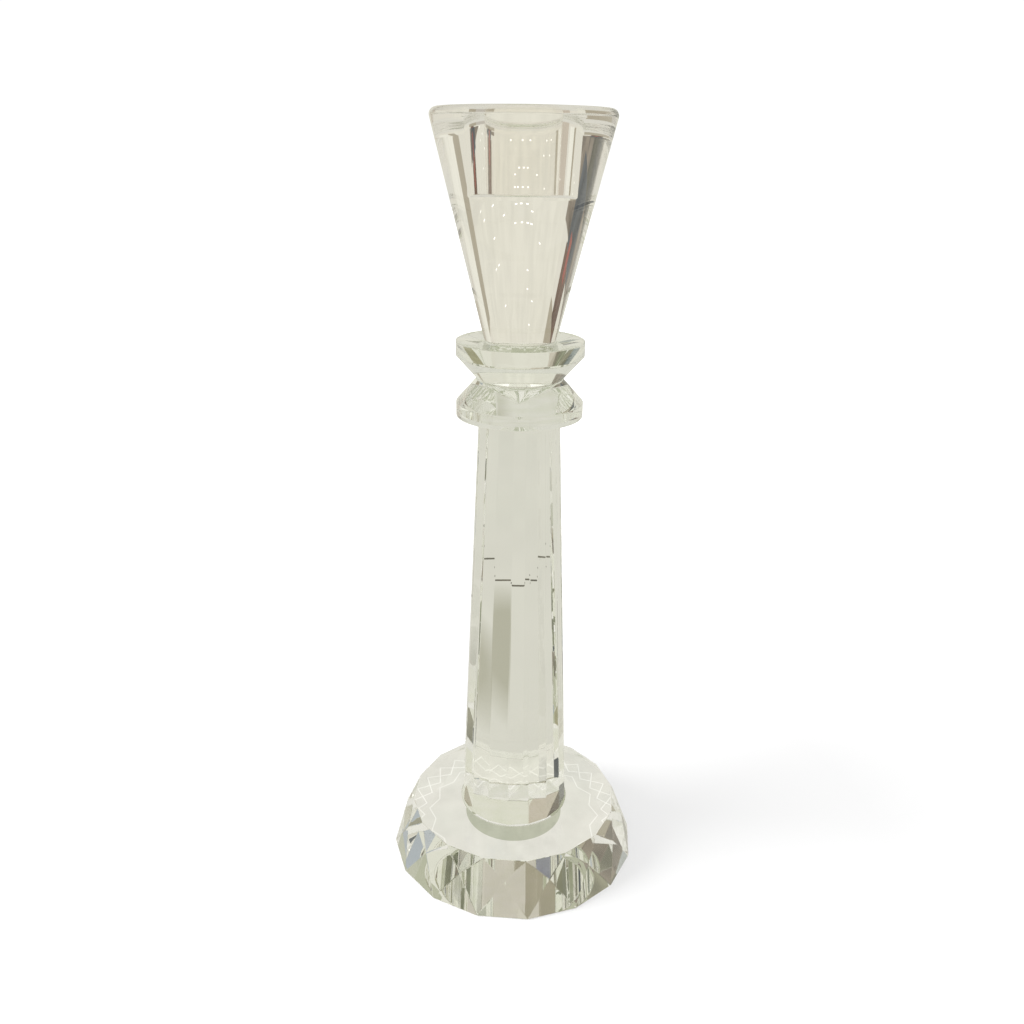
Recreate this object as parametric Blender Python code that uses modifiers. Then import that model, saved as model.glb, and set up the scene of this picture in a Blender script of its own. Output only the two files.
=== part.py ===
"""A cut-crystal candlestick, in metres, standing on the plane z = 0 with its axis along +Z.

Five pieces of ground and polished glass are stacked on one axis and joined by four thin
films of clear adhesive: the foot, the stem, two collars set neck to neck, and the cup.
The front of the candlestick faces -Y.
"""
import math

import bmesh
import bpy
from mathutils import Matrix, Vector

# The foot: a thick disc cut with two rows of facets that meet at a girdle of points.
FOOT_HEIGHT = 0.0177
FOOT_TABLE_RADIUS = 0.0364       # axis to the corners of the flat top
FOOT_UNDERSIDE_RADIUS = 0.0436   # axis to the corners of the underside
FOOT_GIRDLE_HEIGHT = 0.0117      # underside to the points between the rows
FOOT_SIDES = 16
FOOT_TURN = math.radians(7.0)    # first corner, from the front towards +X

# The stem: a long many-sided taper.
STEM_LENGTH = 0.1423
STEM_FOOT_RADIUS = 0.0187
STEM_NECK_RADIUS = 0.0129
STEM_SIDES = 16
STEM_TURN = math.radians(-6.2)

# The two collars: the same turned piece, a straight band that tapers to a neck.
COLLAR_RADIUS = 0.0198
COLLAR_NECK_RADIUS = 0.0134
COLLAR_BAND = 0.0041
COLLAR_TAPER = 0.0069

# The cup: a solid cone with a rounded rim and a tapered socket for the candle.
CUP_HEIGHT = 0.0648
CUP_FOOT_RADIUS = 0.0111
CUP_RIM_RADIUS = 0.0273
CUP_RIM_ROUND = 0.0020
SOCKET_MOUTH_RADIUS = 0.0113
SOCKET_FLOOR_RADIUS = 0.0105
SOCKET_DEPTH = 0.0223
SOCKET_MOUTH_ROUND = 0.0006
SOCKET_FLOOR_ROUND = 0.0008

# The adhesive films, and the clearance that each keeps to the glass on both sides.
FILM_THICKNESS = 0.0002
FILM_CLEARANCE = 0.0003
FILM_INSET = 0.0003              # film edge inside the smaller face of its joint
FOOT_FILM_FILLET = 0.0004        # the film under the stem stands out past it

TURNED_STEPS = 64                # segments round a turned piece
ROUND_STEPS = 4                  # segments along a rounded corner
SHARP_ANGLE = math.radians(30.0)
WELD = 0.00001                   # points closer than this are one point
ON_PLANE = 0.000001              # a point this near a cut lies on it

CRYSTAL_COLOUR = (0.86, 0.88, 0.82)
CRYSTAL_ROUGHNESS = 0.02
ADHESIVE_COLOUR = (0.90, 0.91, 0.86)
ADHESIVE_ROUGHNESS = 0.08
GLASS_IOR = 1.52

JOINT = FILM_THICKNESS + 2.0 * FILM_CLEARANCE
COLLAR_HEIGHT = COLLAR_BAND + COLLAR_TAPER

COLLECTION_NAME = "glass_candlestick"


def clear_scene():
    """Remove every object, so that the script can run again in the same file."""
    for old in list(bpy.data.objects):
        bpy.data.objects.remove(old, do_unlink=True)


def object_collection():
    """The collection that holds the parts."""
    collection = bpy.data.collections.get(COLLECTION_NAME)
    if collection is None:
        collection = bpy.data.collections.new(COLLECTION_NAME)
        bpy.context.scene.collection.children.link(collection)
    return collection


def glass_material(name, colour, roughness):
    """A clear Principled material with its own tint and polish."""
    material = bpy.data.materials.new(name)
    material.use_nodes = True
    shader = material.node_tree.nodes["Principled BSDF"]
    shader.inputs["Base Color"].default_value = (*colour, 1.0)
    shader.inputs["Roughness"].default_value = roughness
    shader.inputs["Metallic"].default_value = 0.0
    shader.inputs["Transmission Weight"].default_value = 1.0
    shader.inputs["IOR"].default_value = GLASS_IOR
    return material


def add_part(name, mesh, height, material):
    """Stand a finished mesh at its height on the axis, as a named part."""
    part = bpy.data.objects.new(name, mesh)
    part.location = (0.0, 0.0, height)
    mesh.materials.append(material)
    object_collection().objects.link(part)
    return part


def outward(turn):
    """The horizontal direction at an angle from the front, towards +X."""
    return Vector((math.sin(turn), -math.cos(turn), 0.0))


def cut_flat(bm, point, normal):
    """Grind one flat: remove what lies beyond the plane and close the cut."""
    everything = bm.verts[:] + bm.edges[:] + bm.faces[:]
    cut = bmesh.ops.bisect_plane(bm, geom=everything, dist=ON_PLANE, plane_co=point,
                                 plane_no=normal, clear_outer=True)
    rim = [item for item in cut["geom_cut"] if isinstance(item, bmesh.types.BMEdge)]
    if rim:
        bmesh.ops.contextual_create(bm, geom=rim)


def many_sided_taper(sides, turn, low_radius, high_radius, height):
    """A frustum on z = 0 with a corner at the given turn; radii reach its corners."""
    bm = bmesh.new()
    bmesh.ops.create_cone(bm, cap_ends=True, segments=sides, radius1=low_radius,
                          radius2=high_radius, depth=height)
    bm.verts.ensure_lookup_table()
    first_corner = math.atan2(bm.verts[0].co.y, bm.verts[0].co.x)
    wanted = math.atan2(outward(turn).y, outward(turn).x)
    bmesh.ops.rotate(bm, verts=bm.verts, matrix=Matrix.Rotation(wanted - first_corner, 3, "Z"))
    bmesh.ops.translate(bm, verts=bm.verts, vec=(0.0, 0.0, height / 2.0))
    return bm


def mesh_from(bm, name):
    """Turn a bmesh into a closed mesh whose faces point out."""
    bmesh.ops.remove_doubles(bm, verts=bm.verts, dist=WELD)
    bmesh.ops.recalc_face_normals(bm, faces=bm.faces)
    mesh = bpy.data.meshes.new(name)
    bm.to_mesh(mesh)
    bm.free()
    return mesh


def foot_mesh():
    """The foot: the blank's sides are the kite facets, and each edge is cut away twice."""
    half_side = math.pi / FOOT_SIDES
    to_flat = math.cos(half_side)
    blank = many_sided_taper(FOOT_SIDES, FOOT_TURN + half_side, FOOT_UNDERSIDE_RADIUS / to_flat,
                             FOOT_TABLE_RADIUS / to_flat, FOOT_HEIGHT)
    rise = FOOT_GIRDLE_HEIGHT / FOOT_HEIGHT
    girdle_flat = FOOT_UNDERSIDE_RADIUS + (FOOT_TABLE_RADIUS - FOOT_UNDERSIDE_RADIUS) * rise
    girdle_radius = girdle_flat / to_flat
    for side in range(FOOT_SIDES):
        out = outward(FOOT_TURN + half_side + 2.0 * half_side * side)
        girdle_point = out * girdle_radius + Vector((0.0, 0.0, FOOT_GIRDLE_HEIGHT))
        table_edge = out * FOOT_TABLE_RADIUS * to_flat + Vector((0.0, 0.0, FOOT_HEIGHT))
        underside_edge = out * FOOT_UNDERSIDE_RADIUS * to_flat
        for edge_point in (table_edge, underside_edge):
            slope = edge_point - girdle_point
            across = Vector((-out.y, out.x, 0.0))
            normal = slope.cross(across).normalized()
            if normal.dot(out) < 0.0:
                normal.negate()
            cut_flat(blank, girdle_point, normal)
    return mesh_from(blank, "foot")


def stem_mesh():
    """The stem: plain flats from foot to neck."""
    taper = many_sided_taper(STEM_SIDES, STEM_TURN, STEM_FOOT_RADIUS, STEM_NECK_RADIUS, STEM_LENGTH)
    return mesh_from(taper, "stem")


def rounded(before, corner, after, radius):
    """Points along the arc that rounds a profile's corner."""
    to_before = (Vector(before) - Vector(corner)).normalized()
    to_after = (Vector(after) - Vector(corner)).normalized()
    half_angle = to_before.angle(to_after) / 2.0
    setback = radius / math.tan(half_angle)
    centre = Vector(corner) + (to_before + to_after).normalized() * radius / math.sin(half_angle)
    start = Vector(corner) + to_before * setback - centre
    end = Vector(corner) + to_after * setback - centre
    sweep = start.angle(end)
    if start.x * end.y - start.y * end.x < 0.0:
        sweep = -sweep
    points = []
    for step in range(ROUND_STEPS + 1):
        turned = Matrix.Rotation(sweep * step / ROUND_STEPS, 2) @ start
        points.append(tuple(centre + turned))
    return points


def turned_mesh(name, profile):
    """Turn a profile of (radius, height) points round the axis, as one closed mesh."""
    line = bpy.data.meshes.new(name)
    points = [(radius, 0.0, height) for radius, height in profile]
    edges = [(index, index + 1) for index in range(len(points) - 1)]
    line.from_pydata(points, edges, [])
    lathe = bpy.data.objects.new(name, line)
    bpy.context.scene.collection.objects.link(lathe)
    screw = lathe.modifiers.new("turn", "SCREW")
    screw.steps = TURNED_STEPS
    screw.render_steps = TURNED_STEPS
    screw.use_merge_vertices = True
    screw.merge_threshold = WELD
    screw.use_smooth_shade = True
    bpy.context.view_layer.update()
    depsgraph = bpy.context.evaluated_depsgraph_get()
    mesh = bpy.data.meshes.new_from_object(lathe.evaluated_get(depsgraph))
    mesh.name = name
    bpy.data.objects.remove(lathe, do_unlink=True)
    bpy.data.meshes.remove(line)
    mesh.set_sharp_from_angle(angle=SHARP_ANGLE)
    return mesh


def collar_mesh(name, neck_up):
    """A collar: a straight band on its wide face, tapering to its neck."""
    profile = [(0.0, COLLAR_HEIGHT), (COLLAR_NECK_RADIUS, COLLAR_HEIGHT),
               (COLLAR_RADIUS, COLLAR_BAND), (COLLAR_RADIUS, 0.0), (0.0, 0.0)]
    if not neck_up:
        profile = [(radius, COLLAR_HEIGHT - height) for radius, height in reversed(profile)]
    return turned_mesh(name, profile)


def cup_mesh():
    """The cup: a cone with a rounded rim and a tapered, flat-bottomed socket."""
    socket_floor = CUP_HEIGHT - SOCKET_DEPTH
    floor_centre = (0.0, socket_floor)
    floor_corner = (SOCKET_FLOOR_RADIUS, socket_floor)
    mouth_corner = (SOCKET_MOUTH_RADIUS, CUP_HEIGHT)
    rim_corner = (CUP_RIM_RADIUS, CUP_HEIGHT)
    foot_corner = (CUP_FOOT_RADIUS, 0.0)
    profile = [floor_centre]
    profile += rounded(floor_centre, floor_corner, mouth_corner, SOCKET_FLOOR_ROUND)
    profile += rounded(floor_corner, mouth_corner, rim_corner, SOCKET_MOUTH_ROUND)
    profile += rounded(mouth_corner, rim_corner, foot_corner, CUP_RIM_ROUND)
    profile += [foot_corner, (0.0, 0.0)]
    return turned_mesh("cup", profile)


def film_mesh(name, radius):
    """One film of adhesive: a thin flat disc."""
    film = many_sided_taper(TURNED_STEPS, 0.0, radius, radius, FILM_THICKNESS)
    return mesh_from(film, name)


def add_crystal(name, mesh, height):
    """Stand a glass piece on the axis in its own clear material."""
    material = glass_material(name + "_crystal", CRYSTAL_COLOUR, CRYSTAL_ROUGHNESS)
    return add_part(name, mesh, height, material)


def add_film(name, radius, piece_above):
    """Lay an adhesive film under the piece that starts at this height."""
    material = glass_material(name + "_adhesive", ADHESIVE_COLOUR, ADHESIVE_ROUGHNESS)
    film_height = piece_above - FILM_CLEARANCE - FILM_THICKNESS
    return add_part(name, film_mesh(name, radius), film_height, material)


def build_candlestick():
    """Stack the pieces from the ground up, with a film in every joint."""
    stem_height = FOOT_HEIGHT + JOINT
    lower_collar_height = stem_height + STEM_LENGTH + JOINT
    upper_collar_height = lower_collar_height + COLLAR_HEIGHT + JOINT
    cup_height = upper_collar_height + COLLAR_HEIGHT + JOINT

    add_crystal("foot", foot_mesh(), 0.0)
    add_crystal("stem", stem_mesh(), stem_height)
    add_crystal("lower_collar", collar_mesh("lower_collar", True), lower_collar_height)
    add_crystal("upper_collar", collar_mesh("upper_collar", False), upper_collar_height)
    add_crystal("cup", cup_mesh(), cup_height)

    add_film("foot_bond", STEM_FOOT_RADIUS + FOOT_FILM_FILLET, stem_height)
    neck_radius = min(STEM_NECK_RADIUS, COLLAR_RADIUS)
    add_film("neck_bond", neck_radius - FILM_INSET, lower_collar_height)
    add_film("waist_bond", COLLAR_NECK_RADIUS - FILM_INSET, upper_collar_height)
    seat_radius = min(CUP_FOOT_RADIUS, COLLAR_RADIUS)
    add_film("cup_bond", seat_radius - FILM_INSET, cup_height)


clear_scene()
build_candlestick()
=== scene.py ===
"""The looks of the cut-crystal candlestick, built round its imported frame, in metres.

Each CAD solid of glass or adhesive is replaced by a finer piece in the same place. The
glass reaches the adhesive films, and its joint faces let light pass straight through, so
that the bonded candlestick reads as one clear body with fine lines at its joints.
"""
import math

import bmesh
import bpy
from mathutils import Matrix, Vector


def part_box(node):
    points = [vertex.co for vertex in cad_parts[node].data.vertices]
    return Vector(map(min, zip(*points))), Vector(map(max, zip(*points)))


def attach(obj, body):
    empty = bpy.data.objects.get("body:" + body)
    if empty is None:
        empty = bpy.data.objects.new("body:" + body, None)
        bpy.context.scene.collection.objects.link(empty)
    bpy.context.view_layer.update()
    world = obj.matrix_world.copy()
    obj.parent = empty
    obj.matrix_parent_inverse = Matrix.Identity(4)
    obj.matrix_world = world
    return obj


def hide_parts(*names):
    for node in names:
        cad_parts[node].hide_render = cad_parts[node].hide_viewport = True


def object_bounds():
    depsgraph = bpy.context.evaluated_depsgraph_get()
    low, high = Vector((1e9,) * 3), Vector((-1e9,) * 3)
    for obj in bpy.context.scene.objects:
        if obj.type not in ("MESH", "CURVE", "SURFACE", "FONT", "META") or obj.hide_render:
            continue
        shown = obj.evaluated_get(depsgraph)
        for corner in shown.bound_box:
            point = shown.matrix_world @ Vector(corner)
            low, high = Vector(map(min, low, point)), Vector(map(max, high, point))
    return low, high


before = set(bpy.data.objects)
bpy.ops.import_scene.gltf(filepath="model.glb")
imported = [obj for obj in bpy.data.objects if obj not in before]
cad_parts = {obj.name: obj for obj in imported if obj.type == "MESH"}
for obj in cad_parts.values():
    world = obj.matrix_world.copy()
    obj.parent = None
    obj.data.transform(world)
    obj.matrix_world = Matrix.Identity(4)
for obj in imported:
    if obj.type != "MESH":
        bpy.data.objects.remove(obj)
cad_low, cad_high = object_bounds()
HEIGHT = cad_high.z - cad_low.z

# Which film lies under and over each glass piece.
FILM_UNDER = {"stem": "foot_bond", "lower_collar": "neck_bond",
              "upper_collar": "waist_bond", "cup": "cup_bond"}
FILM_OVER = {"foot": "foot_bond", "stem": "neck_bond",
             "lower_collar": "waist_bond", "upper_collar": "cup_bond"}
FACETTED = ("foot", "stem")
TURNED = ("lower_collar", "upper_collar", "cup")
FILMS = ("foot_bond", "neck_bond", "waist_bond", "cup_bond")

SEAM = 0.00002            # what is left between a film and the glass
GROUND_EDGE = 0.00018     # width of the ground-off edge between two facets
TURNED_EDGE = 0.00020     # radius of a turned piece's crisp corners
TURNED_STEPS = 320
ARC_STEPS = 12
LONG_RUN = 0.002          # a straight run of an outline is longer than this
SUPPORT = 0.00003         # a run's faces start this far from an arc, so that they stay flat
SAME_POINT = 0.00001
CIRCLE_STEPS = 96         # corners of a film's outline on a flat face, or of a round mat
FLAT_ANGLE = math.radians(0.5)        # faces that bend less than this are one flat
CREASE_ANGLE = math.radians(4.0)      # edges that bend more than this are ground off
LEVEL = 0.99              # a normal's upright part, from which a face counts as level
COVERED = 1.02            # a film covers a whole end face that is up to this much wider

GLASS_IOR = 1.52
ADHESIVE_IOR = 1.49
NO_BEND = 1.0             # index at a joint face, where glass meets adhesive
STREAK_SIZE = 0.018       # streaks of tint in the crystal
MARK_SIZE = 0.009         # handling marks, and how rough the worst of them are
MARK_ROUGHNESS = 0.012
MARKS_FROM, MARKS_TO = 0.60, 0.78     # only the noise's peaks are marks
LAP_WAVE_SIZE = 0.006     # the wave that the lap leaves, its height and how much of it shows
LAP_WAVE_HEIGHT = 0.0005
LAP_WAVE_SHOWN = 0.002
FLOW_SIZE = 0.006         # clouds in an adhesive film
BEAD_SIZE = 0.0015        # unevenness of the adhesive's edge
BEAD_ROUGHNESS = (0.05, 0.35)
FILM_TINTS = ((0.975, 0.980, 0.960), (1.0, 1.0, 1.0))
BEAD_TINTS = ((0.34, 0.35, 0.27), (0.88, 0.89, 0.82))


# ---------------------------------------------------------------- materials

def new_material(name):
    """An empty node material with a Principled shader."""
    material = bpy.data.materials.new(name)
    material.use_nodes = True
    return material, material.node_tree, material.node_tree.nodes["Principled BSDF"]


def noise(tree, size, detail=2.0):
    """Noise with features of about one size in metres, in the piece's own space."""
    place = tree.nodes.new("ShaderNodeTexCoord")
    texture = tree.nodes.new("ShaderNodeTexNoise")
    texture.inputs["Scale"].default_value = 1.0 / size
    texture.inputs["Detail"].default_value = detail
    tree.links.new(place.outputs["Object"], texture.inputs["Vector"])
    return texture.outputs["Fac"]


def between(tree, factor, low, high, from_low=0.35, from_high=0.65):
    """A number that runs from low to high as a noise does between two of its values."""
    spread = tree.nodes.new("ShaderNodeMapRange")
    spread.inputs["From Min"].default_value = from_low
    spread.inputs["From Max"].default_value = from_high
    spread.inputs["To Min"].default_value = low
    spread.inputs["To Max"].default_value = high
    tree.links.new(factor, spread.inputs["Value"])
    return spread.outputs["Result"]


def tint(tree, factor, low, high):
    """A colour that runs between two tints."""
    mix = tree.nodes.new("ShaderNodeMix")
    mix.data_type = "RGBA"
    mix.inputs["A"].default_value = (*low, 1.0)
    mix.inputs["B"].default_value = (*high, 1.0)
    tree.links.new(factor, mix.inputs["Factor"])
    return mix.outputs["Result"]


def clear_shader(shader, ior):
    """Settings that all the clear materials share."""
    shader.inputs["Transmission Weight"].default_value = 1.0
    shader.inputs["Metallic"].default_value = 0.0
    shader.inputs["IOR"].default_value = ior


def crystal(name, low, high):
    """Polished crystal: faint streaks of tint, handling marks, and a wave left by the lap."""
    material, tree, shader = new_material(name)
    clear_shader(shader, GLASS_IOR)
    streaks = between(tree, noise(tree, STREAK_SIZE), 0.0, 1.0)
    tree.links.new(tint(tree, streaks, low, high), shader.inputs["Base Color"])
    marks = between(tree, noise(tree, MARK_SIZE, 4.0), 0.0, MARK_ROUGHNESS, MARKS_FROM, MARKS_TO)
    tree.links.new(marks, shader.inputs["Roughness"])
    bump = tree.nodes.new("ShaderNodeBump")
    bump.inputs["Strength"].default_value = LAP_WAVE_SHOWN
    bump.inputs["Distance"].default_value = LAP_WAVE_HEIGHT
    tree.links.new(noise(tree, LAP_WAVE_SIZE, 1.0), bump.inputs["Height"])
    tree.links.new(bump.outputs["Normal"], shader.inputs["Normal"])
    return material


def joint_face(name):
    """Glass wetted by adhesive: light goes straight on, with a trace of the film's tint."""
    material, tree, shader = new_material(name)
    clear_shader(shader, NO_BEND)
    flow = between(tree, noise(tree, FLOW_SIZE), 0.0, 1.0)
    tree.links.new(tint(tree, flow, *FILM_TINTS), shader.inputs["Base Color"])
    shader.inputs["Roughness"].default_value = 0.0
    return material


def adhesive_edge(name):
    """The cured bead of adhesive that shows round a joint."""
    material, tree, shader = new_material(name)
    clear_shader(shader, ADHESIVE_IOR)
    beads = noise(tree, BEAD_SIZE, 3.0)
    tree.links.new(tint(tree, beads, *BEAD_TINTS), shader.inputs["Base Color"])
    tree.links.new(between(tree, beads, *BEAD_ROUGHNESS), shader.inputs["Roughness"])
    return material


JOINT_FACE = joint_face("joint_face")
ADHESIVE_EDGE = adhesive_edge("adhesive_edge")
CRYSTALS = {
    "foot": crystal("foot_crystal", (0.945, 0.965, 0.925), (0.985, 0.985, 0.955)),
    "stem": crystal("stem_crystal", (0.940, 0.950, 0.905), (0.975, 0.975, 0.940)),
    "lower_collar": crystal("lower_collar_crystal", (0.950, 0.970, 0.930), (0.985, 0.990, 0.965)),
    "upper_collar": crystal("upper_collar_crystal", (0.950, 0.970, 0.930), (0.985, 0.990, 0.965)),
    "cup": crystal("cup_crystal", (0.970, 0.955, 0.925), (0.995, 0.980, 0.960)),
}


# ---------------------------------------------------------------- pieces

def film_radius(film):
    """How far a film reaches from the axis."""
    low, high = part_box(film)
    return (high.x - low.x) / 2.0


def ends(node):
    """Heights of a glass piece's two ends once they reach the films."""
    low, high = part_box(node)
    bottom, top = low.z, high.z
    if node in FILM_UNDER:
        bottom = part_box(FILM_UNDER[node])[1].z + SEAM
    if node in FILM_OVER:
        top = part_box(FILM_OVER[node])[0].z - SEAM
    return bottom, top


def reaching_film(node, height):
    """A height of the CAD piece, moved to the film if it is one of the piece's two ends."""
    low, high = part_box(node)
    bottom, top = ends(node)
    if abs(height - low.z) < SAME_POINT:
        return bottom
    if abs(height - high.z) < SAME_POINT:
        return top
    return height


def joints_of(node):
    """The radius and height of each joint face of a glass piece."""
    bottom, top = ends(node)
    joints = []
    if node in FILM_UNDER:
        joints.append((film_radius(FILM_UNDER[node]), bottom))
    if node in FILM_OVER:
        joints.append((film_radius(FILM_OVER[node]), top))
    return joints


def cad_copy(node):
    """A CAD node's mesh with its points welded and its flat faces whole."""
    bm = bmesh.new()
    bm.from_mesh(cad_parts[node].data)
    bmesh.ops.remove_doubles(bm, verts=bm.verts, dist=SAME_POINT)
    bmesh.ops.dissolve_limit(bm, angle_limit=FLAT_ANGLE, verts=bm.verts, edges=bm.edges)
    return bm


def add_piece(node, mesh, materials):
    """Put a finished mesh in the scene in place of its CAD node."""
    is_glass = node in CRYSTALS
    piece = bpy.data.objects.new(node + "_glass" if is_glass else node + "_film", mesh)
    for material in materials:
        mesh.materials.append(material)
    bpy.context.scene.collection.objects.link(piece)
    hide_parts(node)
    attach(piece, "root")


def circle(radius, height, behind=0.0):
    """Points of a circle, with its middle a little behind the axis if asked."""
    points = []
    for step in range(CIRCLE_STEPS):
        turn = 2.0 * math.pi * step / CIRCLE_STEPS
        points.append((radius * math.cos(turn), behind + radius * math.sin(turn), height))
    return points


def ring(bm, radius, height):
    """A closed ring of points and edges about the axis."""
    points = [bm.verts.new(point) for point in circle(radius, height)]
    return [bm.edges.new((points[index - 1], points[index])) for index in range(CIRCLE_STEPS)]


def facetted_piece(node):
    """The foot or the stem: crisp flats, fine ground edges, and its joint faces marked off."""
    bm = cad_copy(node)
    for vert in bm.verts:
        vert.co.z = reaching_film(node, vert.co.z)
    creases = [edge for edge in bm.edges if edge.calc_face_angle(0.0) > CREASE_ANGLE]
    bmesh.ops.bevel(bm, geom=creases, offset=GROUND_EDGE, offset_type="OFFSET", segments=2,
                    profile=0.5, affect="EDGES", clamp_overlap=True)
    for face in bm.faces:
        face.smooth = False
    for radius, height in joints_of(node):
        mark_joint(bm, radius, height)
    bmesh.ops.recalc_face_normals(bm, faces=bm.faces)
    mesh = bpy.data.meshes.new(node + "_glass")
    bm.to_mesh(mesh)
    bm.free()
    add_piece(node, mesh, (CRYSTALS[node], JOINT_FACE))


def mark_joint(bm, radius, height):
    """Give the part of an end face that its film covers the joint's own material."""
    level = [face for face in bm.faces if abs(face.normal.z) > LEVEL]
    at_end = [face for face in level if abs(face.calc_center_median().z - height) < SAME_POINT]
    end_face = max(at_end, key=lambda face: face.calc_area())
    middles = [(edge.verts[0].co + edge.verts[1].co) / 2.0 for edge in end_face.edges]
    reach = min(math.hypot(middle.x, middle.y) for middle in middles)
    if reach <= radius * COVERED:
        end_face.material_index = 1
        return
    outer = list(end_face.edges)
    bmesh.ops.delete(bm, geom=[end_face], context="FACES_ONLY")
    inner = ring(bm, radius, height)
    bmesh.ops.triangle_fill(bm, edges=outer + inner, use_beauty=True)
    disc = bmesh.ops.contextual_create(bm, geom=inner)
    for made in disc["faces"]:
        made.material_index = 1


def outline_of(node):
    """The half outline of a turned CAD node, from the middle of its lowest face to its last."""
    bm = bmesh.new()
    bm.from_mesh(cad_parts[node].data)
    bmesh.ops.remove_doubles(bm, verts=bm.verts, dist=SAME_POINT)
    left = {v for v in bm.verts if abs(v.co.y) < SAME_POINT and v.co.x > SAME_POINT}
    points = [Vector((0.0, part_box(node)[0].z))]
    while left:
        here = min(left, key=lambda v: (Vector((v.co.x, v.co.z)) - points[-1]).length)
        while here is not None:
            left.remove(here)
            points.append(Vector((here.co.x, here.co.z)))
            nearby = [edge.other_vert(here) for edge in here.link_edges]
            here = next((v for v in nearby if v in left), None)
    points.append(Vector((0.0, points[-1].y)))
    bm.free()
    return points


def corner_between(run, following):
    """Where two straight runs would meet."""
    a, b = run
    c, d = following
    along, across = b - a, d - c
    share = ((c.x - a.x) * across.y - (c.y - a.y) * across.x) / (along.x * across.y - along.y * across.x)
    return a + along * share


def arc(before, corner, after, radius):
    """Points of the arc that rounds a corner, with a support point just outside each end."""
    to_before = (before - corner).normalized()
    to_after = (after - corner).normalized()
    half_angle = to_before.angle(to_after) / 2.0
    setback = radius / math.tan(half_angle)
    centre = corner + (to_before + to_after).normalized() * radius / math.sin(half_angle)
    start = corner + to_before * setback - centre
    end = corner + to_after * setback - centre
    sweep = math.copysign(start.angle(end), start.x * end.y - start.y * end.x)
    points = [corner + to_before * (setback + SUPPORT)]
    for step in range(ARC_STEPS + 1):
        points.append(centre + Matrix.Rotation(sweep * step / ARC_STEPS, 2) @ start)
    points.append(corner + to_after * (setback + SUPPORT))
    return points


def fine_outline(node):
    """The node's outline with its ends at the films and every corner as a smooth arc."""
    points = outline_of(node)
    for point in points:
        point.y = reaching_film(node, point.y)
    runs = [(a, b) for a, b in zip(points, points[1:]) if (b - a).length > LONG_RUN]
    fine = [points[0]]
    for run, following in zip(runs, runs[1:]):
        corner = corner_between(run, following)
        setback = (run[1] - corner).length
        half_angle = (run[0] - corner).angle(following[1] - corner) / 2.0
        radius = max(setback * math.tan(half_angle), TURNED_EDGE)
        fine += arc(run[0], corner, following[1], radius)
    fine.append(points[-1])
    return fine


def with_joint_rings(outline, joints):
    """The outline with a point added where each film ends on the piece's end faces."""
    points = list(outline)
    for radius, height in joints:
        for index in range(len(points) - 1):
            a, b = points[index], points[index + 1]
            flat = abs(a.y - height) < SAME_POINT and abs(b.y - height) < SAME_POINT
            if flat and min(a.x, b.x) < radius < max(a.x, b.x):
                points.insert(index + 1, Vector((radius, height)))
                break
    return points


def revolved(name, outline):
    """Turn an outline round the axis as one smooth closed mesh."""
    line = bpy.data.meshes.new(name)
    line.from_pydata([(p.x, 0.0, p.y) for p in outline],
                     [(index, index + 1) for index in range(len(outline) - 1)], [])
    lathe = bpy.data.objects.new(name, line)
    bpy.context.scene.collection.objects.link(lathe)
    screw = lathe.modifiers.new("turn", "SCREW")
    screw.steps = TURNED_STEPS
    screw.render_steps = TURNED_STEPS
    screw.use_merge_vertices = True
    screw.merge_threshold = SAME_POINT / 10.0
    screw.use_smooth_shade = True
    bpy.context.view_layer.update()
    made = lathe.evaluated_get(bpy.context.evaluated_depsgraph_get())
    mesh = bpy.data.meshes.new_from_object(made)
    bpy.data.objects.remove(lathe, do_unlink=True)
    bpy.data.meshes.remove(line)
    bm = bmesh.new()
    bm.from_mesh(mesh)
    bmesh.ops.recalc_face_normals(bm, faces=bm.faces)
    bm.to_mesh(mesh)
    bm.free()
    return mesh


def turned_piece(node):
    """A collar or the cup."""
    joints = joints_of(node)
    mesh = revolved(node + "_glass", with_joint_rings(fine_outline(node), joints))
    for face in mesh.polygons:
        for radius, height in joints:
            at_end = abs(face.center.z - height) < SAME_POINT
            if at_end and math.hypot(face.center.x, face.center.y) < radius:
                face.material_index = 1
    add_piece(node, mesh, (CRYSTALS[node], JOINT_FACE))


def film_piece(node):
    """A film of adhesive with a round bead at its edge."""
    low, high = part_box(node)
    half = (high.z - low.z) / 2.0
    bead_centre = film_radius(node) - half
    outline = [Vector((0.0, low.z))]
    for step in range(ARC_STEPS + 1):
        turn = math.pi * step / ARC_STEPS
        outline.append(Vector((bead_centre + half * math.sin(turn),
                               low.z + half - half * math.cos(turn))))
    outline.append(Vector((0.0, high.z)))
    mesh = revolved(node + "_film", outline)
    for face in mesh.polygons:
        if math.hypot(face.center.x, face.center.y) < bead_centre:
            face.material_index = 1
    add_piece(node, mesh, (ADHESIVE_EDGE, JOINT_FACE))


for facetted_node in FACETTED:
    facetted_piece(facetted_node)
for turned_node in TURNED:
    turned_piece(turned_node)
for film_node in FILMS:
    film_piece(film_node)


# ---------------------------------------------------------------- studio

BOUNCES = 160                         # light runs far inside the rim and the foot
LENS_WHITE = 1.05                     # the world's light, to the lens and the floor
WARM_WHITE = (0.75, 0.725, 0.635)     # what the glass sees round it
UPPER_WALL = (0.74, 0.74, 0.64)
UPPER_WALL_AT = 0.88                  # where it turns to ceiling, from straight down to straight up
CEILING = (1.30, 1.28, 1.20)

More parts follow.
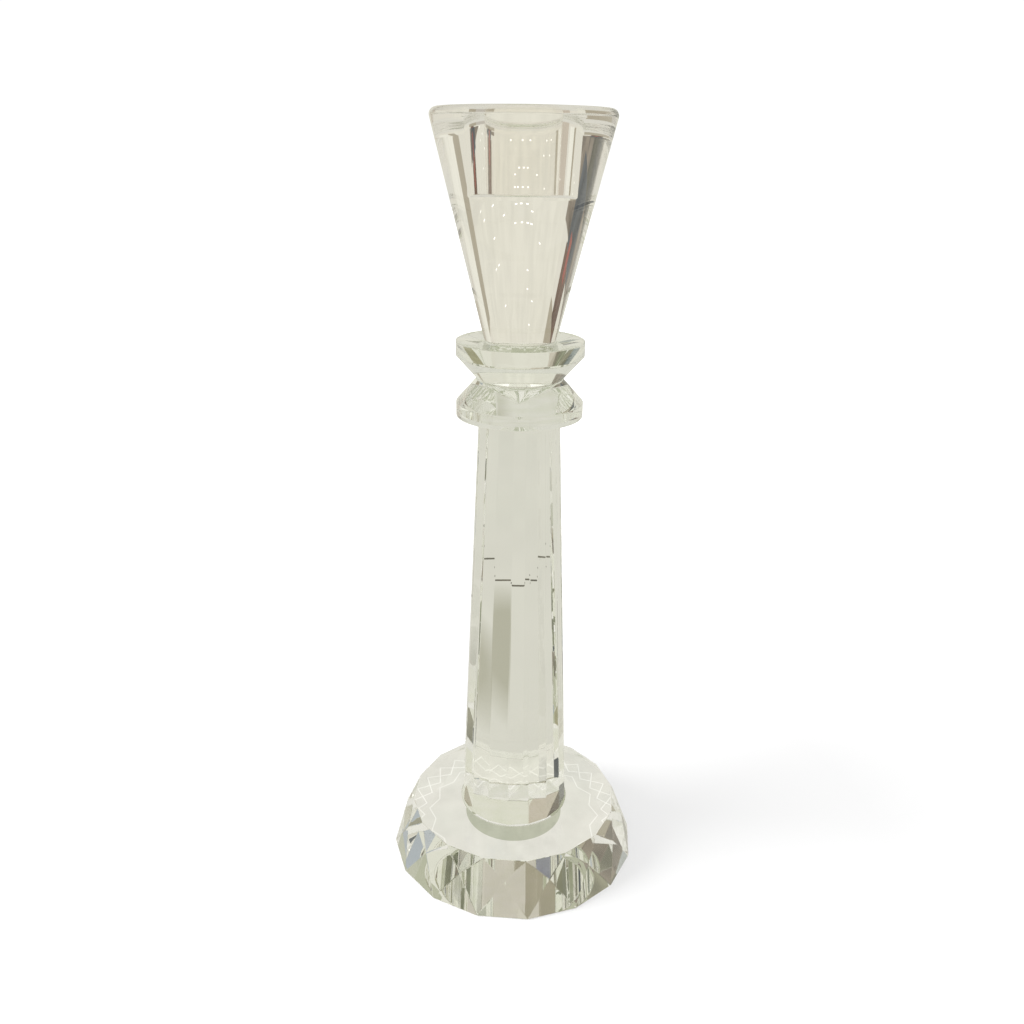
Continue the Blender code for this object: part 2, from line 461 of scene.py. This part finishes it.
FLOOR_SIZE = 8.0
FLOOR_DEPTH = 0.0003                  # the floor lies this far under the foot
FLOOR_GREY = 0.30                     # what it gives back of the light that falls on it
FLOOR_PALE = (0.70, 0.69, 0.62)       # what the glass sees of it
FLOOR_MOTTLE = 0.03
MOTTLE_SIZE = 0.12
FLOOR_GLOW = 0.57                     # the floor's own light, to the lens
FAR_GLOW = 0.50                       # what is added to it far from the candlestick
FAR_FROM, FAR_TO = 0.14, 0.60         # where that starts and where it is whole
LAYER = 0.00001                       # flat patches lie this far apart above the floor

DOME_RADIUS = 3.0                     # how far off the room's cards stand
DOME_CENTRE = 0.12
DOME_STEP = 0.02                      # each card stands this much nearer than the one before
CARD_MESH = 3.0                       # a card's faces are about this many degrees across

DARK_BLOTCHES = 0.35                  # how far a card strays from its colour, as a share of it
PALE_BLOTCHES = 0.04
DARK_BELOW = 0.3                      # a card is dark if all its colour's parts are under this
CARD_BLOTCH_SIZE = 0.15
PATCH_FADE = 0.45                     # share of the way in at which the patch's colour is whole

# Painted light: the floor under the foot, as the glass sees it, is paler for the light that comes
# through the foot.
PAINTED_LIGHT_UNDER_FOOT = (0.83, 0.81, 0.76)
# Painted shade: a darker disc on the floor under the stem, which the glass sees as the stem's shadow
# through the foot.
STEM_SHADE_COLOUR = (0.52, 0.53, 0.43)
STEM_SHADE_SIZE = 0.92                # share of the adhesive film's radius that the painted shade covers
# how far the middle of the painted shade lies behind the axis
STEM_SHADE_BEHIND = 0.002
# Painted light: bright lines on the floor under the foot, for the light that the facets throw.
WEB_LIGHT = (1.04, 1.02, 0.98)
WEB_BLOTCH_SIZE = 0.01
WEB_TEETH = 16
# The lines of the painted web of light, for the light that the facets throw: name, inner and outer
# radius, turn in degrees, width, layer.
WEB_LINES = (
    ("web_0", 0.0325, 0.0385, 4.0, 0.0005, 7),
    ("web_1", 0.0325, 0.0385, 15.25, 0.0005, 9),
    ("web_inner", 0.0285, 0.0310, 9.0, 0.00035, 11),
)

LAMP_COLOUR = (1.0, 0.98, 0.93)
LAMP_SIZE = (1.1, 0.10)               # degrees across and up
LAMP_STRENGTH = 1.6
HIGH_LAMP_SIZE = (0.4, 0.2)
HIGH_LAMP_STRENGTH = 60.0
LAMP_DISTANCE = 2.0

KEY_SIZE = 0.60                       # the lamp that throws the soft shadow to the right
KEY_POWER = 18.0
KEY_PLACE = (-0.85, -0.20, 0.50)

LENS_LENGTH = 33.44                   # millimetres, on a sensor 36 mm wide
CAMERA_BACK = 1.16064                 # shares of the candlestick's height
CAMERA_UP = 0.9572
CAMERA_DOWN = 20.927                  # degrees
CAMERA_ASIDE = 0.377
CAMERA_ROLL = 0.724

# Rows of small lamps: elevation, then azimuths, in degrees. The rows low behind show in the cup.
LAMP_ROWS = (
    (7.5, (-8.0,)),
    (9.1, (-9.0, 12.0)),
    (9.7, (-5.0,)),
    (10.9, (-4.5,)),
    (12.0, (14.5, 17.0)),
    (13.0, (-11.0,)),
    (13.9, (-5.5, -3.5, -0.5, 3.0, 16.0)),
    (14.7, (-5.5, 9.0)),
    (15.1, (-3.0, 0.0, 2.5)),
    (15.9, (15.0, 22.0)),
    (16.8, (-9.0, -1.0, 4.0, 18.0, 24.0)),
)
HIGH_LAMP_ROWS = (
    (54.0, (163.0, 176.0, 189.0)),
    (61.0, (165.0, 178.0, 191.0)),
)

# The colours of the room's cards, from dark to pale.
NEAR_BLACK = (0.050, 0.050, 0.042)
DARK_OLIVE = (0.060, 0.058, 0.036)
SLATE = (0.075, 0.085, 0.092)
BROWN = (0.140, 0.080, 0.052)
DARK_MOSS = (0.170, 0.170, 0.115)
RED = (0.330, 0.090, 0.065)
UMBER = (0.230, 0.195, 0.150)
MOSS = (0.240, 0.230, 0.160)
FERN = (0.230, 0.240, 0.160)
SMOKE = (0.200, 0.230, 0.220)
LAVENDER = (0.240, 0.235, 0.265)
OLIVE = (0.360, 0.340, 0.210)
TAUPE = (0.400, 0.360, 0.270)
STEEL = (0.330, 0.360, 0.370)
SAGE = (0.450, 0.460, 0.340)
ICE = (0.390, 0.430, 0.470)
DOVE = (0.520, 0.490, 0.430)
SAND = (0.560, 0.500, 0.410)
PEARL = (0.625, 0.585, 0.510)
CREAM = (0.770, 0.755, 0.655)
WINDOW = (0.860, 0.850, 0.750)

scene = bpy.context.scene
scene.view_settings.view_transform = "Standard"
scene.cycles.max_bounces = BOUNCES
scene.cycles.transmission_bounces = BOUNCES
scene.cycles.glossy_bounces = BOUNCES


def glow(tree, colour):
    """A shader that gives light of a linked colour."""
    light = tree.nodes.new("ShaderNodeEmission")
    tree.links.new(colour, light.inputs["Color"])
    return light.outputs[0]


def blotched(tree, colour, spread, size):
    """A colour with soft blotches under and over it."""
    low = [part * (1.0 - spread) for part in colour]
    high = [part * (1.0 + spread) for part in colour]
    return tint(tree, between(tree, noise(tree, size), 0.0, 1.0), low, high)


def glowing_material(name):
    """An empty node material for something that only gives light."""
    material, tree, shader = new_material(name)
    tree.nodes.remove(shader)
    return material, tree, tree.nodes["Material Output"].inputs["Surface"]


def studio_world():
    """White all round for the lens and the floor, and a warm room for the glass."""
    world = bpy.data.worlds.new("studio")
    scene.world = world
    world.use_nodes = True
    tree = world.node_tree
    tree.nodes.clear()
    output = tree.nodes.new("ShaderNodeOutputWorld")
    mix = tree.nodes.new("ShaderNodeMixShader")
    path = tree.nodes.new("ShaderNodeLightPath")
    white = tree.nodes.new("ShaderNodeBackground")
    white.inputs["Color"].default_value = (1.0, 1.0, 1.0, 1.0)
    white.inputs["Strength"].default_value = LENS_WHITE
    room = tree.nodes.new("ShaderNodeBackground")
    place = tree.nodes.new("ShaderNodeTexCoord")
    parts = tree.nodes.new("ShaderNodeSeparateXYZ")
    ramp = tree.nodes.new("ShaderNodeValToRGB")
    ramp.color_ramp.elements[0].color = (*WARM_WHITE, 1.0)
    ramp.color_ramp.elements[1].color = (*CEILING, 1.0)
    ramp.color_ramp.elements.new(UPPER_WALL_AT).color = (*UPPER_WALL, 1.0)
    tree.links.new(place.outputs["Generated"], parts.inputs["Vector"])
    tree.links.new(parts.outputs["Z"], ramp.inputs["Fac"])
    tree.links.new(ramp.outputs["Color"], room.inputs["Color"])
    either = tree.nodes.new("ShaderNodeMath")
    either.operation = "MAXIMUM"
    tree.links.new(path.outputs["Is Camera Ray"], either.inputs[0])
    tree.links.new(path.outputs["Is Diffuse Ray"], either.inputs[1])
    tree.links.new(either.outputs[0], mix.inputs["Fac"])
    tree.links.new(room.outputs[0], mix.inputs[1])
    tree.links.new(white.outputs[0], mix.inputs[2])
    tree.links.new(mix.outputs[0], output.inputs["Surface"])


def above_floor(layer):
    """The height of the floor, or of a layer of flat patches on it."""
    return cad_low.z - FLOOR_DEPTH + LAYER * layer


def floor():
    """A pale glowing sweep: white to the lens, warm white to the glass."""
    bpy.ops.mesh.primitive_plane_add(size=FLOOR_SIZE, location=(0.0, 0.0, above_floor(0)))
    ground = bpy.context.object
    ground.name = "floor"
    material, tree, shader = new_material("floor_sweep")
    output = tree.nodes["Material Output"]
    path = tree.nodes.new("ShaderNodeLightPath")
    shader.inputs["Base Color"].default_value = (FLOOR_GREY, FLOOR_GREY, FLOOR_GREY, 1.0)
    shader.inputs["Roughness"].default_value = 1.0
    shader.inputs["Specular IOR Level"].default_value = 0.0
    own_light = tree.nodes.new("ShaderNodeEmission")
    place = tree.nodes.new("ShaderNodeTexCoord")
    distance = tree.nodes.new("ShaderNodeVectorMath")
    distance.operation = "LENGTH"
    tree.links.new(place.outputs["Object"], distance.inputs[0])
    strength = between(tree, distance.outputs["Value"], FLOOR_GLOW, FLOOR_GLOW + FAR_GLOW,
                       FAR_FROM, FAR_TO)
    tree.links.new(strength, own_light.inputs["Strength"])
    lit = tree.nodes.new("ShaderNodeAddShader")
    tree.links.new(shader.outputs[0], lit.inputs[0])
    tree.links.new(own_light.outputs[0], lit.inputs[1])
    mix = tree.nodes.new("ShaderNodeMixShader")
    tree.links.new(path.outputs["Is Camera Ray"], mix.inputs["Fac"])
    to_glass = glow(tree, blotched(tree, FLOOR_PALE, FLOOR_MOTTLE, MOTTLE_SIZE))
    tree.links.new(to_glass, mix.inputs[1])
    tree.links.new(lit.outputs[0], mix.inputs[2])
    tree.links.new(mix.outputs[0], output.inputs["Surface"])
    ground.data.materials.append(material)


def for_glass_only(name, points, faces, material):
    """A sheet that only the glass sees: no camera ray, diffuse ray or shadow meets it."""
    mesh = bpy.data.meshes.new(name)
    mesh.from_pydata(points, [], faces)
    mesh.materials.append(material)
    sheet = bpy.data.objects.new(name, mesh)
    scene.collection.objects.link(sheet)
    sheet.visible_camera = False
    sheet.visible_diffuse = False
    sheet.visible_shadow = False


def on_dome(azimuth, elevation, radius):
    """A point of the dome. Azimuth 0 lies straight behind the candlestick, 90 to its right."""
    turn, rise = math.radians(azimuth), math.radians(elevation)
    return (radius * math.sin(turn) * math.cos(rise), radius * math.cos(turn) * math.cos(rise),
            DOME_CENTRE + radius * math.sin(rise))


def card(name, azimuths, elevations, material, radius):
    """A curved card of the room, between two azimuths and two elevations."""
    across = max(2, round((azimuths[1] - azimuths[0]) / CARD_MESH))
    up = max(2, round((elevations[1] - elevations[0]) / CARD_MESH))
    points, faces = [], []
    for row in range(up + 1):
        for column in range(across + 1):
            azimuth = azimuths[0] + (azimuths[1] - azimuths[0]) * column / across
            elevation = elevations[0] + (elevations[1] - elevations[0]) * row / up
            points.append(on_dome(azimuth, elevation, radius))
    for row in range(up):
        for column in range(across):
            corner = row * (across + 1) + column
            faces.append((corner, corner + 1, corner + across + 2, corner + across + 1))
    for_glass_only(name, points, faces, material)


def mat(name, across, behind, material, layer):
    """A flat patch of the floor, between two distances to the right and two behind."""
    points = [(x, y, above_floor(layer)) for y in behind for x in across]
    for_glass_only(name, points, [(0, 1, 3, 2)], material)


def card_material(name, colour, size=CARD_BLOTCH_SIZE):
    """A card with soft blotches under and over its colour, which show most on a dark one."""
    material, tree, surface = glowing_material(name)
    spread = DARK_BLOTCHES if max(colour) < DARK_BELOW else PALE_BLOTCHES
    tree.links.new(glow(tree, blotched(tree, colour, spread, size)), surface)
    return material


def fading_material(name, colour):
    """A mat's material whose colour fades into the floor's towards the mat's sides."""
    material, tree, surface = glowing_material(name)
    place = tree.nodes.new("ShaderNodeTexCoord")
    centred = tree.nodes.new("ShaderNodeMapping")
    centred.inputs["Scale"].default_value = (2.0, 2.0, 0.0)
    centred.inputs["Location"].default_value = (-1.0, -1.0, 0.0)
    tree.links.new(place.outputs["Generated"], centred.inputs["Vector"])
    falloff = tree.nodes.new("ShaderNodeTexGradient")
    falloff.gradient_type = "SPHERICAL"
    tree.links.new(centred.outputs["Vector"], falloff.inputs["Vector"])
    amount = between(tree, falloff.outputs["Fac"], 0.0, 1.0, 0.0, PATCH_FADE)
    tree.links.new(glow(tree, tint(tree, amount, FLOOR_PALE, colour)), surface)
    return material


def disc(name, radius, behind, material, layer):
    """A round mat under the foot, with its middle a little behind the axis."""
    points = circle(radius, above_floor(layer), behind)
    for_glass_only(name, points, [tuple(range(CIRCLE_STEPS))], material)


def zigzag(name, inner, outer, phase, width, layer, material):
    """A thin painted line of light that runs to and fro between two circles under the foot."""
    height = above_floor(layer)
    points, faces = [], []
    for step in range(2 * WEB_TEETH):
        turn = math.radians(phase) + step * math.pi / WEB_TEETH
        radius = outer if step % 2 else inner
        for edge in (radius, radius + width):
            points.append((edge * math.cos(turn), edge * math.sin(turn), height))
    count = len(points)
    for step in range(0, count, 2):
        faces.append((step, step + 1, (step + 3) % count, (step + 2) % count))
    for_glass_only(name, points, faces, material)


def under_foot():
    """The floor under the foot as the glass sees it: a pale disc of painted light for the light that
    comes through the foot, a painted web of light for the light that the facets throw, and painted shade
    under the stem.
    """
    pale = card_material("painted_light_under_foot", PAINTED_LIGHT_UNDER_FOOT, WEB_BLOTCH_SIZE)
    shaded = card_material("painted_shade_under_stem", STEM_SHADE_COLOUR, WEB_BLOTCH_SIZE)
    web = card_material("painted_web_of_light", WEB_LIGHT, WEB_BLOTCH_SIZE)
    disc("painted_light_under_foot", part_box("foot")[1].x, 0.0, pale, 3)
    # Painted shade under the stem, a little behind the axis.
    disc("painted_shade_under_stem", film_radius("foot_bond") * STEM_SHADE_SIZE, STEM_SHADE_BEHIND, shaded, 5)
    for name, inner, outer, phase, width, layer in WEB_LINES:
        zigzag(name, inner, outer, phase, width, layer, web)


def lamps(name, rows, quarter, size, strength):
    """Rows of small lamps far off, which sparkle in the glass, turned by some quarters."""
    points, faces = [], []
    width, height = size
    for elevation, azimuths in rows:
        for azimuth in azimuths:
            left = azimuth + 90.0 * quarter
            count = len(points)
            for turn, rise in ((0.0, 0.0), (width, 0.0), (width, height), (0.0, height)):
                points.append(on_dome(left + turn, elevation + rise, LAMP_DISTANCE))
            faces.append((count, count + 1, count + 2, count + 3))
    warm = [part * strength for part in LAMP_COLOUR]
    for_glass_only(name, points, faces, card_material(name + "_light", warm))


# The room's cards: name, azimuths and elevations in degrees, colour. Later cards stand in
# front of earlier ones.
ROOM = (
    ("wall_behind", (-27, 34), (-7, 16), CREAM),
    ("wall_right", (63, 86), (-7, 22), SAND),
    ("wall_left", (-86, -56), (-7, 11), DOVE),
    ("lit_wall_left", (-86, -56), (11, 16), CREAM),
    ("counter_left", (-56, -27), (-7, 11), TAUPE),
    ("shelf_left", (-88, -71), (16, 29), STEEL),
    ("shelf_far_left", (-102, -88), (14, 31), SMOKE),
    ("shelf_near_left", (-71, -27), (16, 29), UMBER),
    ("beam_left", (-101, -27), (29, 38), MOSS),
    ("ceiling_left", (-78, -20), (38, 50), UMBER),
    ("ceiling_high_left", (-82, -22), (50, 66), TAUPE),
    ("ceiling_behind", (-22, 37), (50, 66), PEARL),
    ("soffit_behind", (-27, 10), (29, 50), SAGE),
    ("soffit_middle", (-27, -10), (22, 29), SAND),
    ("soffit_right", (27, 78), (29, 38), SAGE),
    ("pillar_right", (78, 101), (22, 50), OLIVE),
    ("duct_right", (46, 66), (38, 50), ICE),
    ("duct_far_right", (66, 78), (38, 50), MOSS),
    ("window_right", (41, 57), (11, 29), WINDOW),
    ("frame_right", (34, 41), (11, 24), TAUPE),
    ("rail_left_front", (-150, -100), (38, 50), FERN),
    ("rail_right_front", (112, 150), (38, 50), FERN),
    ("coat", (-64, -41), (22, 29), DARK_OLIVE),
    ("coat_fold", (-56, -49), (22, 29), NEAR_BLACK),
    ("coat_front", (-49, -34), (16, 22), SLATE),
    ("box", (-46, -33), (11, 16), BROWN),
    ("scarf", (-40.5, -37), (14.5, 17.5), RED),
    ("onlooker", (157, 203), (38, 66), DARK_MOSS),
    ("onlooker_shirt", (172, 187), (50, 66), LAVENDER),
    ("coat_behind_left", (-150, -116), (14, 36), SLATE),
    ("coat_behind_right", (120, 138), (14, 36), UMBER),
)

studio_world()
floor()
COLOURS = {}
for order, (card_name, card_azimuths, card_elevations, card_colour) in enumerate(ROOM):
    if card_colour not in COLOURS:
        COLOURS[card_colour] = card_material("card_colour_%d" % len(COLOURS), card_colour)
    card(card_name, card_azimuths, card_elevations, COLOURS[card_colour],
         DOME_RADIUS - DOME_STEP * order)

far_floor = card_material("far_floor", (0.75, 0.74, 0.65), size=0.3)
# A grey patch of floor behind and right of the stem, fading into the floor's colour at its sides.
grey_floor_patch = fading_material("grey_floor_patch", (0.45, 0.44, 0.35))
cloth_edge = card_material("cloth_edge", (0.12, 0.11, 0.08), size=0.02)
mat("far_floor", across=(-0.35, 1.2), behind=(0.90, 3.0), material=far_floor, layer=2)
mat("grey_floor_patch", across=(0.004, 0.073), behind=(0.055, 0.200), material=grey_floor_patch, layer=2)
mat("cloth_edge", across=(-0.20, 0.14), behind=(0.200, 0.202), material=cloth_edge, layer=4)
under_foot()
for turned_by in range(4):
    lamps("lamps_%d" % turned_by, LAMP_ROWS, turned_by, LAMP_SIZE, LAMP_STRENGTH)
lamps("high_lamps", HIGH_LAMP_ROWS, 0, HIGH_LAMP_SIZE, HIGH_LAMP_STRENGTH)

key = bpy.data.lights.new("key", "AREA")
key.shape = "DISK"
key.size = KEY_SIZE
key.energy = KEY_POWER
key_lamp = bpy.data.objects.new("key", key)
scene.collection.objects.link(key_lamp)
key_lamp.location = KEY_PLACE
key_lamp.rotation_euler = (-key_lamp.location).to_track_quat("-Z", "Y").to_euler()
key_lamp.visible_glossy = False
key_lamp.visible_transmission = False


# ---------------------------------------------------------------- camera

lens = bpy.data.cameras.new("camera")
lens.sensor_width = 36.0
lens.lens = LENS_LENGTH
lens.clip_start = 0.01
camera = bpy.data.objects.new("camera", lens)
scene.collection.objects.link(camera)
camera.location = (0.0, -CAMERA_BACK * HEIGHT, CAMERA_UP * HEIGHT)
look = (Matrix.Rotation(math.radians(CAMERA_ASIDE), 3, "Z")
        @ Matrix.Rotation(math.radians(90.0 - CAMERA_DOWN), 3, "X")
        @ Matrix.Rotation(math.radians(CAMERA_ROLL), 3, "Z"))
camera.rotation_euler = look.to_euler()
scene.camera = camera
